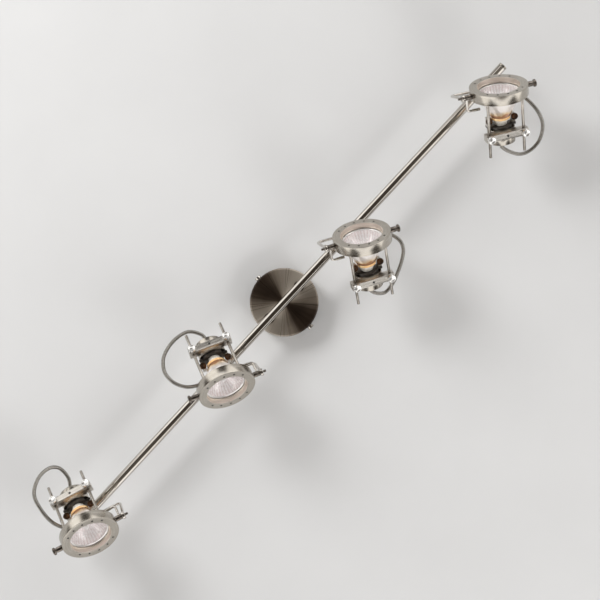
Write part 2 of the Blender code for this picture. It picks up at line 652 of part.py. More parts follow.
def build_conduit(name, swivel, tilt, route):
    """Flexible wiring conduit from the carrier's gland round to the yoke hub's port."""
    to_swivel = Matrix.Rotation(math.radians(-tilt), 4, "X")
    start = GLAND_END - GAP
    points = [to_swivel @ Vector((0, 0, start)), to_swivel @ Vector((0, 0, start - 2 * CONDUIT_RADIUS))]
    points += [to_swivel @ (Vector(point) / 1000) for point in route]
    mouth = PORT_LENGTH + GAP
    points.append(Vector((mouth + 2 * CONDUIT_RADIUS, 0, -HUB_DROP)))
    points.append(Vector((mouth, 0, -HUB_DROP)))
    path = smooth_route(points, CONDUIT_POINTS_PER_SPAN)
    add_object(name, wire_mesh(name, path, CONDUIT_RADIUS), FLEX_STEEL, swivel)


def build_head(number, post, swivel, head, tilt, route):
    name = f"head_{number}_"
    build_stud(name + "swivel_stud", post)
    build_yoke(name + "yoke", swivel)
    build_conduit(name + "conduit", swivel, tilt, route)
    build_ring(name + "ring", head)
    build_pivot_pin(name + "pivot_pin", head)
    build_side_knob(name + "side_knob", head)
    build_aim_handle(name + "aim_handle", head)
    build_lamp(name + "lamp", head)
    build_socket(name + "socket", head)
    build_carrier(name + "carrier", head)
    build_thumb_screw(name + "thumb_screw_left", head, -1)
    build_thumb_screw(name + "thumb_screw_right", head, 1)


def main():
    posts = []
    for number, (place, swivel_angle, tilt) in enumerate(HEADS, 1):
        post = add_empty(f"post_frame_{number}", (place * HEAD_SPACING, 0, BAR_HEIGHT),
                         (STUD_LEAN, 0, 0))
        swivel = add_empty(f"swivel_frame_{number}", (0, 0, PIVOT_REACH), (0, 0, swivel_angle), post)
        head = add_empty(f"head_frame_{number}", (0, 0, 0), (-tilt, 0, 0), swivel)
        build_head(number, post, swivel, head, tilt, CONDUIT_ROUTES[number - 1])
        posts.append(post)
    build_mounting_plate()
    build_canopy()
    build_side_screws()
    build_standoffs()
    build_terminal_block()
    build_bar(posts)
    build_end_caps()
    bpy.context.view_layer.update()


main()
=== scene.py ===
"""Looks for the bar light with four halogen spot heads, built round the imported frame."""

import math

import bmesh
import bpy
from mathutils import Matrix, Vector


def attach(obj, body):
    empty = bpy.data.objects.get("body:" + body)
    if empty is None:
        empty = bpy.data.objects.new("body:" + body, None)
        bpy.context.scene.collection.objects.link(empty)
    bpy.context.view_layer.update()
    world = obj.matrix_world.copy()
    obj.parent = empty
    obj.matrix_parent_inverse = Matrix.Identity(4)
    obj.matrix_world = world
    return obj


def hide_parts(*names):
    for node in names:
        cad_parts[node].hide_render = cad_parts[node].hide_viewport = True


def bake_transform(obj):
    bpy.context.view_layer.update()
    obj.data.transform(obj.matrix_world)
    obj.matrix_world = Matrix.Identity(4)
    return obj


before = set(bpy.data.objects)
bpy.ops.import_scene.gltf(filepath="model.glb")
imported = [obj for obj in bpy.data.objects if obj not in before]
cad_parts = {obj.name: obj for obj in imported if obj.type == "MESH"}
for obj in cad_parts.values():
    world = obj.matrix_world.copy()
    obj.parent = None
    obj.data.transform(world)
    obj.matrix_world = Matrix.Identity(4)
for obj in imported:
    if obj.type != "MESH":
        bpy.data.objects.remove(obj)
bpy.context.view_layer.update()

# ---------------------------------------------------------------- sizes, as in the CAD (metres)
GAP = 0.0003
BAR_LENGTH = 0.800
BAR_RADIUS = 0.0055
BAR_WALL = 0.0012
BAR_HEIGHT = 0.038
END_CAP_LENGTH = 0.003
CANOPY_RADIUS = 0.043
CANOPY_DEPTH = 0.024
CANOPY_WALL = 0.0015
SIDE_SCREW_HEIGHT = 0.012
STANDOFF_RADIUS = 0.0065
STANDOFF_OFFSET = 0.027
HEAD_SPACING = 0.2415
STUD_LEAN = 17.0
PIVOT_REACH = 0.058
HUB_DROP = 0.045
HUB_RADIUS = 0.0055
HUB_HEIGHT = 0.006
RING_RADIUS = 0.0355
RING_FRONT = 0.007
RING_BACK = -0.0054
BORE_RADIUS = 0.02575
LIP_RADIUS = 0.0242
LIP_THICKNESS = 0.0012
BOSS_RADIUS = 0.0035
BOSS_START = RING_RADIUS + GAP
BOSS_END = BOSS_START + 0.0084
EAR_RADIUS = 0.00475
EAR_THICKNESS = 0.0035
EAR_X = -(BOSS_END + GAP + EAR_THICKNESS / 2)
YOKE_WIRE_RADIUS = 0.00175
YOKE_BEND_RADIUS = 0.006
HANDLE_RADIUS = 0.0015
HANDLE_X = -(BOSS_START + 0.65 * 0.0084)
HANDLE_DROP = 0.018
HANDLE_REACH = 0.016
HANDLE_BEND_RADIUS = 0.003
GUIDE_RADIUS = 0.00175
GUIDE_OFFSET = 0.022
GUIDE_Y = -math.sqrt(0.0288 ** 2 - GUIDE_OFFSET ** 2)
GUIDE_END = 0.076
LAMP_FRONT = -GAP
LAMP_BACK = LAMP_FRONT - 0.0388
LAMP_RADIUS = 0.025
LAMP_NECK_RADIUS = 0.012
LAMP_NECK_TOP = LAMP_BACK + 0.0074
CARRIER_FRONT = -0.0455
CARRIER_BACK = -0.0545
CARRIER_MID_Z = -0.050
CARRIER_OUTER_Y = GUIDE_Y - 0.0049
CARRIER_INNER_Y = -0.012
CARRIER_HALF = GUIDE_OFFSET + 0.005
BARREL_RADIUS = 0.017
BARREL_BACK = -0.065
GLAND_END = -0.0685
SOCKET_RADIUS = 0.013
PILLAR_X = LAMP_NECK_RADIUS + 0.001 + 0.0025
PILLAR_TOP = -0.0315
RIVET_Z = -(0.0315 + 0.00425 - 0.001)
FACE_HOLE_CIRCLE = 0.030
FACE_HOLE_RADIUS = 0.00125
FACE_HOLES_A_SIDE = 5
FACE_HOLE_STEP = 24
CONDUIT_RADIUS = 0.0024
CONDUIT_SEAM = 0.42             # share of the conduit in the rear piece
RIB_STEP = 0.0004               # distance between the conduit's rings
RIB_DEPTH = 0.045
KNURL_DEPTH = 0.035
CAMERA_TURN = math.radians(47.2)
PAINTED_FAN_ANGLE = math.radians(98)    # painted dark sectors of reflection on the canopy, angle from the bar
PORT_LENGTH = 0.0085

HEADS = (
    (-1.5, 159.3, 33.0),
    (-0.5, 152.3, 40.2),
    (0.5, -32.2, 73.4),
    (1.5, -34.9, 73.8),
)
CONDUIT_ROUTES = (
    ((-4, -11, -82), (-1, -27, -88), (8, -38, -87), (21, -43, -80), (32, -43, -69),
     (38, -41, -56), (38, -35, -42), (35, -23, -30), (30, -7, -27), (23, 12, -32)),
    ((4, -4, -81), (17, -9, -87), (33, -11, -83), (48, -11, -73), (58, -11, -60),
     (62, -9, -43), (57, -6, -28), (46, 2, -21), (32, 14, -24)),
    ((7, 0, -80), (18, 1, -83), (29, 2, -75), (38, 3, -62), (46, 4, -47),
     (50, 5, -33), (48, 9, -22), (40, 20, -16), (27, 34, -13)),
    ((8, -1, -81), (22, -2, -88), (36, -2, -86), (48, -1, -77), (54, 0, -63),
     (54, 2, -50), (48, 6, -35), (38, 18, -22), (26, 34, -14)),
)

ALONG_X = Matrix.Rotation(math.radians(90), 4, "Y")
ALONG_MINUS_X = Matrix.Rotation(math.radians(-90), 4, "Y")


# ---------------------------------------------------------------- materials
def new_material(name):
    material = bpy.data.materials.new(name)
    material.use_nodes = True
    tree = material.node_tree
    return material, tree, tree.nodes["Principled BSDF"]


def math_node(tree, operation, a, b=None):
    node = tree.nodes.new("ShaderNodeMath")
    node.operation = operation
    for socket, value in zip(node.inputs, (a, b)):
        if value is None:
            continue
        if isinstance(value, (int, float)):
            socket.default_value = value
        else:
            tree.links.new(value, socket)
    return node.outputs[0]


def noise(tree, vector, scale, detail=4.0, roughness=0.55):
    node = tree.nodes.new("ShaderNodeTexNoise")
    node.inputs["Scale"].default_value = scale
    node.inputs["Detail"].default_value = detail
    node.inputs["Roughness"].default_value = roughness
    tree.links.new(vector, node.inputs["Vector"])
    return node.outputs["Fac"]


def ramp(tree, value, stops):
    node = tree.nodes.new("ShaderNodeValToRGB")
    elements = node.color_ramp.elements
    while len(elements) < len(stops):
        elements.new(0.5)
    for element, (position, color) in zip(elements, stops):
        element.position = position
        element.color = (*color, 1.0)
    tree.links.new(value, node.inputs["Fac"])
    return node.outputs["Color"]


def spread(tree, value, low, high):
    node = tree.nodes.new("ShaderNodeMapRange")
    tree.links.new(value, node.inputs["Value"])
    node.inputs["From Min"].default_value = 0.3
    node.inputs["From Max"].default_value = 0.7
    node.inputs["To Min"].default_value = low
    node.inputs["To Max"].default_value = high
    return node.outputs["Result"]


def bump(tree, shader, height, strength, distance=0.0002):
    node = tree.nodes.new("ShaderNodeBump")
    node.inputs["Strength"].default_value = strength
    node.inputs["Distance"].default_value = distance
    tree.links.new(height, node.inputs["Height"])
    tree.links.new(node.outputs["Normal"], shader.inputs["Normal"])


def turned_vector(tree, lines):
    """Coordinates that draw fine lines round the object's own Z axis."""
    place = tree.nodes.new("ShaderNodeTexCoord").outputs["Object"]
    split = tree.nodes.new("ShaderNodeSeparateXYZ")
    tree.links.new(place, split.inputs[0])
    x, y, z = split.outputs
    radius = math_node(tree, "SQRT", math_node(
        tree, "ADD", math_node(tree, "MULTIPLY", x, x), math_node(tree, "MULTIPLY", y, y)))
    angle = math_node(tree, "ARCTAN2", y, x)
    join = tree.nodes.new("ShaderNodeCombineXYZ")
    tree.links.new(math_node(tree, "MULTIPLY", radius, lines), join.inputs[0])
    tree.links.new(math_node(tree, "MULTIPLY", z, lines), join.inputs[1])
    tree.links.new(math_node(tree, "MULTIPLY", angle, 0.6), join.inputs[2])
    return join.outputs[0]


def straight_vector(tree, scale):
    place = tree.nodes.new("ShaderNodeTexCoord").outputs["Object"]
    mapping = tree.nodes.new("ShaderNodeMapping")
    mapping.inputs["Scale"].default_value = scale
    tree.links.new(place, mapping.inputs["Vector"])
    return mapping.outputs[0]


def brushed(name, dark, light, roughness, lines=None, scale=None, strength=0.25, anisotropic=0.0):
    """Nickel with fine brush lines: round Z if lines is given, else stretched by scale."""
    material, tree, shader = new_material(name)
    vector = turned_vector(tree, lines) if lines else straight_vector(tree, scale)
    grain = noise(tree, vector, 1.0)
    cloud = noise(tree, straight_vector(tree, (60, 60, 60)), 1.0, 2.0)
    mixed = math_node(tree, "ADD", math_node(tree, "MULTIPLY", grain, 0.7),
                      math_node(tree, "MULTIPLY", cloud, 0.3))
    tree.links.new(ramp(tree, mixed, ((0.3, dark), (0.7, light))), shader.inputs["Base Color"])
    tree.links.new(spread(tree, grain, roughness - 0.06, roughness + 0.08),
                   shader.inputs["Roughness"])
    shader.inputs["Metallic"].default_value = 1.0
    if anisotropic:
        shader.inputs["Anisotropic"].default_value = anisotropic
        tangent = tree.nodes.new("ShaderNodeTangent")
        tangent.direction_type = "RADIAL"
        tangent.axis = "Z"
        tree.links.new(tangent.outputs[0], shader.inputs["Tangent"])
    bump(tree, shader, grain, strength, 0.00005)
    return material


def painted_fan_sheen_material():
    """Nickel brushed in circles, with dark and light sectors and radial streaks painted into its colour
    as reflection.
    """
    material, tree, shader = new_material("nickel_canopy_painted_sheen")
    place = tree.nodes.new("ShaderNodeTexCoord").outputs["Object"]
    split = tree.nodes.new("ShaderNodeSeparateXYZ")
    tree.links.new(place, split.inputs[0])
    x, y, z = split.outputs
    angle = math_node(tree, "ARCTAN2", y, x)
    turned = math_node(tree, "MULTIPLY", math_node(tree, "SUBTRACT", angle, PAINTED_FAN_ANGLE), 2.0)
    # painted reflection: the colour darkens in two opposite sectors about the dark-sector angle and is
    # lighter between
    fan = math_node(tree, "SUBTRACT", 0.5, math_node(tree, "MULTIPLY", math_node(
        tree, "COSINE", turned), 0.5))
    join = tree.nodes.new("ShaderNodeCombineXYZ")
    tree.links.new(math_node(tree, "MULTIPLY", math_node(tree, "COSINE", angle), 9.0), join.inputs[0])
    tree.links.new(math_node(tree, "MULTIPLY", math_node(tree, "SINE", angle), 9.0), join.inputs[1])
    # radial streaks painted into the colour as sheen; they also vary the roughness
    streaks = noise(tree, join.outputs[0], 1.0, 5.0, 0.7)
    cloud = noise(tree, straight_vector(tree, (40, 40, 40)), 1.0, 2.0)
    value = math_node(tree, "ADD", math_node(tree, "MULTIPLY", fan, 0.75), math_node(
        tree, "ADD", math_node(tree, "MULTIPLY", streaks, 0.28),
        math_node(tree, "MULTIPLY", cloud, 0.12)))
    color = ramp(tree, value, ((0.22, (0.020, 0.012, 0.007)), (0.32, (0.040, 0.027, 0.018)),
                               (0.50, (0.20, 0.165, 0.13)), (0.90, (0.40, 0.355, 0.30))))
    tree.links.new(color, shader.inputs["Base Color"])
    tree.links.new(spread(tree, streaks, 0.24, 0.36), shader.inputs["Roughness"])
    shader.inputs["Metallic"].default_value = 0.45
    shader.inputs["Anisotropic"].default_value = 0.85
    tangent = tree.nodes.new("ShaderNodeTangent")
    tangent.direction_type = "RADIAL"
    tangent.axis = "Z"
    tree.links.new(tangent.outputs[0], shader.inputs["Tangent"])
    grain = noise(tree, turned_vector(tree, 2400), 1.0)
    bump(tree, shader, grain, 0.05, 0.00005)
    return material


def polished(name, dark, light, roughness):
    material, tree, shader = new_material(name)
    smear = noise(tree, straight_vector(tree, (90, 90, 90)), 1.0, 3.0)
    tree.links.new(ramp(tree, smear, ((0.3, dark), (0.7, light))), shader.inputs["Base Color"])
    tree.links.new(spread(tree, smear, roughness, roughness + 0.07), shader.inputs["Roughness"])
    shader.inputs["Metallic"].default_value = 1.0
    fine = noise(tree, straight_vector(tree, (700, 700, 700)), 1.0, 3.0)
    bump(tree, shader, fine, 0.08, 0.00004)
    return material


def plain(name, dark, light, roughness, grain_scale, strength, metallic=0.0, distance=0.0001):
    material, tree, shader = new_material(name)
    grain = noise(tree, straight_vector(tree, (grain_scale,) * 3), 1.0)
    tree.links.new(ramp(tree, grain, ((0.3, dark), (0.7, light))), shader.inputs["Base Color"])
    tree.links.new(spread(tree, grain, roughness - 0.05, roughness + 0.05),
                   shader.inputs["Roughness"])
    shader.inputs["Metallic"].default_value = metallic
    bump(tree, shader, grain, strength, distance)
    return material


def lamp_back_material():
    """Dichroic glass: pale near the rim, amber and copper tints towards the base."""
    material, tree, shader = new_material("lamp_back_glass")
    place = tree.nodes.new("ShaderNodeTexCoord").outputs["Object"]
    split = tree.nodes.new("ShaderNodeSeparateXYZ")
    tree.links.new(place, split.inputs[0])
    depth = math_node(tree, "MULTIPLY", split.outputs[2], -30.0)
    swirl = noise(tree, straight_vector(tree, (150, 150, 60)), 1.0, 3.0)
    value = math_node(tree, "ADD", depth, math_node(tree, "MULTIPLY", swirl, 0.35))
    color = ramp(tree, value, ((0.25, (0.93, 0.90, 0.88)), (0.78, (0.96, 0.89, 0.84)),
                               (0.96, (0.95, 0.70, 0.42)), (1.0, (0.62, 0.33, 0.18))))
    tree.links.new(color, shader.inputs["Base Color"])
    tree.links.new(spread(tree, swirl, 0.05, 0.22), shader.inputs["Roughness"])
    shader.inputs["Metallic"].default_value = 0.55
    shader.inputs["Coat Weight"].default_value = 0.8
    shader.inputs["Coat Roughness"].default_value = 0.05
    bump(tree, shader, swirl, 0.4, 0.0006)
    return material


def reflector_material():
    material, tree, shader = new_material("lamp_reflector")
    place = tree.nodes.new("ShaderNodeTexCoord").outputs["Object"]
    split = tree.nodes.new("ShaderNodeSeparateXYZ")
    tree.links.new(place, split.inputs[0])
    angle = math_node(tree, "ARCTAN2", split.outputs[1], split.outputs[0])
    facets = math_node(tree, "SINE", math_node(tree, "MULTIPLY", angle, 36.0))
    cloud = noise(tree, straight_vector(tree, (220, 220, 220)), 1.0, 2.0)
    value = math_node(tree, "ADD", math_node(tree, "MULTIPLY", facets, 0.18), cloud)
    color = ramp(tree, value, ((0.25, (0.62, 0.50, 0.50)), (0.75, (0.97, 0.93, 0.93))))
    tree.links.new(color, shader.inputs["Base Color"])
    tree.links.new(spread(tree, cloud, 0.16, 0.30), shader.inputs["Roughness"])
    shader.inputs["Metallic"].default_value = 0.5
    # a faint painted glow: the reflector emits light though the lamp is unlit
    shader.inputs["Emission Color"].default_value = (1.0, 0.93, 0.90, 1.0)
    shader.inputs["Emission Strength"].default_value = 0.06
    bump(tree, shader, value, 0.5, 0.0004)
    return material


def clear_glass(name, alpha, tint):
    material, tree, shader = new_material(name)
    smear = noise(tree, straight_vector(tree, (120, 120, 120)), 1.0, 2.0)
    tree.links.new(ramp(tree, smear, ((0.3, tint), (0.7, (1, 1, 1)))), shader.inputs["Base Color"])
    tree.links.new(spread(tree, smear, 0.02, 0.06), shader.inputs["Roughness"])
    shader.inputs["Alpha"].default_value = alpha
    shader.inputs["IOR"].default_value = 1.5
    shader.inputs["Coat Weight"].default_value = 1.0
    return material


NICKEL_TURNED = brushed("nickel_turned", (0.36, 0.33, 0.285), (0.56, 0.525, 0.47), 0.20,
                        lines=2600, strength=0.15, anisotropic=0.45)
# a near-white copy of the turned nickel for the bore: partly nickel, partly painted light on the lit
# inner wall
NICKEL_BORE_PAINTED_LIT = brushed("nickel_bore_painted_lit", (0.74, 0.66, 0.58), (0.90, 0.83, 0.76), 0.42,
                      lines=2600, strength=0.2)
# canopy nickel with its reflection sectors and streaks painted into the colour
NICKEL_CANOPY_PAINTED_SHEEN = painted_fan_sheen_material()
NICKEL_BRUSHED = brushed("nickel_brushed", (0.42, 0.395, 0.36), (0.66, 0.63, 0.58), 0.27,
                         scale=(60, 1800, 1800), strength=0.25)
NICKEL_BAR = brushed("nickel_bar", (0.44, 0.405, 0.36), (0.62, 0.585, 0.54), 0.12,
                     scale=(1500, 1500, 14), strength=0.12)
NICKEL_BRIGHT = polished("nickel_bright", (0.50, 0.47, 0.43), (0.70, 0.67, 0.63), 0.06)
NICKEL_ROD = polished("nickel_rod", (0.26, 0.235, 0.205), (0.50, 0.47, 0.43), 0.08)
# a darkened copy of polished nickel for the pivot bosses and knobs: painted shade
NICKEL_DARK_PAINTED_SHADE = polished("nickel_painted_shade_dark", (0.10, 0.08, 0.065), (0.30, 0.27, 0.24), 0.06)
# a near-white copy of satin nickel for the thumb screws: painted highlight on top of the nickel
NICKEL_DISC_PAINTED_LIT = brushed("nickel_disc_painted_lit", (0.72, 0.71, 0.69), (0.92, 0.91, 0.89), 0.24,
                      lines=2200, strength=0.2, anisotropic=0.3)
ZINC = plain("zinc_plate", (0.42, 0.43, 0.44), (0.62, 0.63, 0.64), 0.42, 240, 0.15, 1.0)
HOSE = brushed("hose_steel", (0.20, 0.19, 0.17), (0.40, 0.38, 0.35), 0.18,
               scale=(900, 900, 900), strength=0.2)
CERAMIC = plain("ceramic", (0.76, 0.73, 0.66), (0.90, 0.88, 0.82), 0.55, 420, 0.25)
BRONZE = plain("dark_bronze", (0.012, 0.006, 0.004), (0.11, 0.05, 0.02), 0.30, 260, 0.3, 0.75)
PLASTIC = plain("terminal_plastic", (0.78, 0.78, 0.75), (0.88, 0.88, 0.86), 0.50, 500, 0.15)
BLACK = plain("shadow_black", (0.012, 0.011, 0.010), (0.035, 0.032, 0.03), 0.6, 300, 0.2)
# near-black metal for the socket flange and body: painted shade between the pillars and inside the
# barrel
SHADE_DARK_METAL = plain("painted_shade_dark_metal", (0.035, 0.03, 0.026), (0.13, 0.12, 0.11), 0.38, 200, 0.2, 0.6)
BRASS_BAND = plain("brass_band", (0.95, 0.50, 0.18), (1.0, 0.78, 0.45), 0.25, 160, 0.2, 0.15)
LAMP_BACK_GLASS = lamp_back_material()
REFLECTOR = reflector_material()
FRONT_GLASS = clear_glass("front_glass", 0.16, (0.96, 0.95, 0.94))
BULB_GLASS = clear_glass("bulb_glass", 0.45, (0.95, 0.93, 0.90))


# ---------------------------------------------------------------- mesh tools
def rounded(profile, radius, closed=False, steps=3):
    """The profile with its corners turned on small arcs."""
    points = [Vector(point) for point in profile]
    count = len(points)
    result = []
    for i, corner in enumerate(points):
        if not closed and i in (0, count - 1):
            result.append(corner)
            continue
        before = points[i - 1]
        after = points[(i + 1) % count]
        inward = before - corner
        outward = after - corner
        cut = min(radius, 0.45 * inward.length, 0.45 * outward.length)
        start = corner + inward.normalized() * cut
        end = corner + outward.normalized() * cut
        for step in range(steps + 1):
            t = step / steps
            result.append(start * (1 - t) ** 2 + corner * 2 * t * (1 - t) + end * t * t)
    return result


class Shape:
    """A mesh under construction, in one local frame."""

    def __init__(self):
        self.mesh = bmesh.new()

    def lathe(self, profile, segments=64, matrix=None, closed=False, material=0, knurl=None):
        """Turns (radius, height) points about Z: outer side from top to bottom."""
        matrix = matrix or Matrix.Identity(4)
        rows = []
        for index, (radius, height) in enumerate(profile):
            if radius < 1e-7:
                rows.append([self.mesh.verts.new(matrix @ Vector((0, 0, height)))])
                continue
            row = []
            for i in range(segments):
                angle = 2 * math.pi * i / segments
                r = radius
                if knurl and knurl[0] <= index <= knurl[1]:
                    r = radius * (1 - KNURL_DEPTH * (i % 2))
                row.append(self.mesh.verts.new(matrix @ Vector(
                    (r * math.cos(angle), r * math.sin(angle), height))))
            rows.append(row)
        pairs = list(zip(rows, rows[1:]))
        if closed:
            pairs.append((rows[-1], rows[0]))
        for upper, lower in pairs:
            for i in range(segments):
                j = (i + 1) % segments
                if len(upper) == 1 and len(lower) == 1:
                    break
                if len(upper) == 1:
                    corners = (upper[0], lower[i], lower[j])
                elif len(lower) == 1:
                    corners = (upper[i], lower[0], upper[j])
                else:
                    corners = (upper[i], lower[i], lower[j], upper[j])
                face = self.mesh.faces.new(corners)
                face.material_index = material
                face.smooth = True
        return self

    def box(self, low, high, bevel=0.0004, material=0):
        low, high = Vector(low), Vector(high)
        place = Matrix.Translation((low + high) / 2) @ Matrix.Diagonal((*(high - low), 1.0))
        made = bmesh.ops.create_cube(self.mesh, size=1.0, matrix=place)["verts"]
        edges = {edge for vert in made for edge in vert.link_edges}
        done = bmesh.ops.bevel(self.mesh, geom=list(edges), offset=bevel, segments=3,
                               profile=0.5, affect="EDGES")
        faces = {face for vert in done["verts"] for face in vert.link_faces}
        for face in faces:
            face.material_index = material
            face.smooth = True
        return self

    def sweep(self, path, radius, sides=20, material=0, radii=None):
        """A round tube along the path, with flat ends."""
        path = [Vector(point) for point in path]
        tangents = []
        for i in range(len(path)):
            ahead = path[min(i + 1, len(path) - 1)]
            behind = path[max(i - 1, 0)]
            tangents.append((ahead - behind).normalized())
        normal = tangents[0].orthogonal().normalized()
        rows = []
        for i, (point, tangent) in enumerate(zip(path, tangents)):
            normal = (normal - tangent * normal.dot(tangent)).normalized()
            across = tangent.cross(normal)
            r = radii[i] if radii else radius
            rows.append([self.mesh.verts.new(point + r * (
                normal * math.cos(2 * math.pi * k / sides)
                + across * math.sin(2 * math.pi * k / sides))) for k in range(sides)])
        for first, second in zip(rows, rows[1:]):
            for k in range(sides):
                m = (k + 1) % sides
                face = self.mesh.faces.new((first[k], first[m], second[m], second[k]))
                face.material_index = material
                face.smooth = True
        for row in (list(reversed(rows[0])), rows[-1]):
            self.mesh.faces.new(row).material_index = material
        return self

    def build(self, name, materials, matrix=None):
        data = bpy.data.meshes.new(name)
        bmesh.ops.recalc_face_normals(self.mesh, faces=self.mesh.faces)
        self.mesh.to_mesh(data)
        self.mesh.free()
        data.set_sharp_from_angle(angle=math.radians(40))
        for material in materials:
            data.materials.append(material)
        item = bpy.data.objects.new(name, data)
        bpy.context.scene.collection.objects.link(item)
        item.matrix_world = matrix or Matrix.Identity(4)
        return item


def carve(item, cutter_shape):
    """Cuts one shape out of a piece, for good."""
    cutter = cutter_shape.build("cutter", [], item.matrix_world)
    modifier = item.modifiers.new("cut", "BOOLEAN")
    modifier.object = cutter
    modifier.solver = "EXACT"
    bpy.context.view_layer.update()
    graph = bpy.context.evaluated_depsgraph_get()
    carved = bpy.data.meshes.new_from_object(item.evaluated_get(graph))
    item.modifiers.clear()
    item.data = carved
    carved.set_sharp_from_angle(angle=math.radians(40))
    bpy.data.objects.remove(cutter)
    return item


def finish_piece(item, body, slot, *nodes):
    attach(item, body)
    if nodes:
        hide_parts(*nodes)
    return item


def bent_corner(start, corner, end, radius, steps=10):
    start, corner, end = Vector(start), Vector(corner), Vector(end)
    inward = (start - corner).normalized()
    outward = (end - corner).normalized()
    centre = corner + radius * (inward + outward)
    arc = []
    for i in range(steps + 1):
        angle = math.pi / 2 * i / steps
        arc.append(centre - radius * (outward * math.cos(angle) + inward * math.sin(angle)))
    return [start, *arc, end]


def smooth_route(points, per_span):
    points = [Vector(point) for point in points]
    route = [points[0].lerp(points[1], k / per_span) for k in range(per_span)]
    for i in range(1, len(points) - 2):
        a, b, c, d = points[i - 1:i + 3]
        for step in range(per_span):
            t = step / per_span
            route.append(0.5 * (2 * b + (c - a) * t + (2 * a - 5 * b + 4 * c - d) * t ** 2
                                + (3 * b - a - 3 * c + d) * t ** 3))
    route += [points[-2].lerp(points[-1], k / per_span) for k in range(per_span)]
    return [*route, points[-1]]


# ---------------------------------------------------------------- camera, light and floor
def build_stage():
    camera_data = bpy.data.cameras.new("camera")
    camera_data.lens = 85.7
    camera_data.sensor_width = 36.0
    camera = bpy.data.objects.new("camera", camera_data)
    camera.location = (0.01556, -0.01251, 1.809)
    camera.rotation_euler = (0, 0, -CAMERA_TURN)
    bpy.context.scene.collection.objects.link(camera)
    bpy.context.scene.camera = camera

    data = bpy.data.meshes.new("floor")
    shape = bmesh.new()
    bmesh.ops.create_grid(shape, x_segments=1, y_segments=1, size=4.0)
    shape.to_mesh(data)
    shape.free()
    data.materials.append(plain("floor_paint", (0.625, 0.625, 0.625), (0.65, 0.65, 0.65),
                                0.85, 6, 0.02))
    floor = bpy.data.objects.new("floor", data)
    floor.location = (0, 0, -0.0005)
    bpy.context.scene.collection.objects.link(floor)

    up = Vector((math.sin(CAMERA_TURN), math.cos(CAMERA_TURN), 0))
    right = Vector((math.cos(CAMERA_TURN), -math.sin(CAMERA_TURN), 0))
    soft_box("key", up * 1.1 - right * 1.3 + Vector((0, 0, 1.2)), 0.7, 25)
    soft_box("fill", -up * 1.2 + right * 1.2 + Vector((0, 0, 1.0)), 0.7, 11)
    bpy.context.scene.view_settings.view_transform = "Standard"
    build_world()


def soft_box(name, place, size, power):
    data = bpy.data.lights.new(name, "AREA")
    data.shape = "SQUARE"
    data.size = size
    data.energy = power
    light = bpy.data.objects.new(name, data)
    light.location = place
    light.rotation_euler = (-place).to_track_quat("-Z", "Y").to_euler()
    light.visible_glossy = False
    bpy.context.scene.collection.objects.link(light)


def build_world():
    """A studio room: dark overhead, bright panels half way up, more of them along the bar."""
    world = bpy.data.worlds.new("studio")
    bpy.context.scene.world = world
    world.use_nodes = True
    tree = world.node_tree
    background = tree.nodes["Background"]
    direction = tree.nodes.new("ShaderNodeTexCoord").outputs["Generated"]
    split = tree.nodes.new("ShaderNodeSeparateXYZ")
    tree.links.new(direction, split.inputs[0])
    x, y, z = split.outputs
    flat = math_node(tree, "ADD", math_node(tree, "MULTIPLY", x, x),
                     math_node(tree, "ADD", math_node(tree, "MULTIPLY", y, y), 0.002))
    lean = math_node(tree, "POWER", math_node(
        tree, "DIVIDE", math_node(tree, "MULTIPLY", x, x), flat), 3.0)
    height = math_node(tree, "ADD", z, math_node(tree, "MULTIPLY", y, 0.03))
    angle = math_node(tree, "ARCTAN2", y, x)
    panels = math_node(tree, "SINE", math_node(tree, "MULTIPLY", angle, 5.0))
    low_walls = ramp(tree, math_node(tree, "ADD", math_node(tree, "MULTIPLY", panels, 0.5), 0.5), (
        (0.22, (0.03, 0.025, 0.02)), (0.36, (0.40, 0.38, 0.36)), (0.60, (1.0, 0.99, 0.97))))
    along = ramp(tree, height, (
        (0.40, (0.0, 0.0, 0.0)), (0.48, (1.0, 1.0, 1.0)), (0.66, (1.0, 0.99, 0.98)),
        (0.78, (0.22, 0.20, 0.18)), (0.90, (0.10, 0.09, 0.08)), (1.0, (0.04, 0.035, 0.03))))
    across = ramp(tree, height, (
        (0.40, (0.0, 0.0, 0.0)), (0.46, (1.0, 1.0, 1.0)), (0.60, (1.0, 0.99, 0.98)),
        (0.68, (0.07, 0.06, 0.05)), (1.0, (0.03, 0.025, 0.02))))
    mix = tree.nodes.new("ShaderNodeMix")
    mix.data_type = "RGBA"
    tree.links.new(lean, mix.inputs["Factor"])
    tree.links.new(across, mix.inputs["A"])
    tree.links.new(along, mix.inputs["B"])
    below = ramp(tree, height, ((0.40, (1.0, 1.0, 1.0)), (0.50, (0.0, 0.0, 0.0))))
    walls = tree.nodes.new("ShaderNodeMix")
    walls.data_type = "RGBA"
    tree.links.new(below, walls.inputs["Factor"])
    tree.links.new(mix.outputs["Result"], walls.inputs["A"])
    tree.links.new(low_walls, walls.inputs["B"])
    tree.links.new(walls.outputs["Result"], background.inputs["Color"])
    background.inputs["Strength"].default_value = 1.78


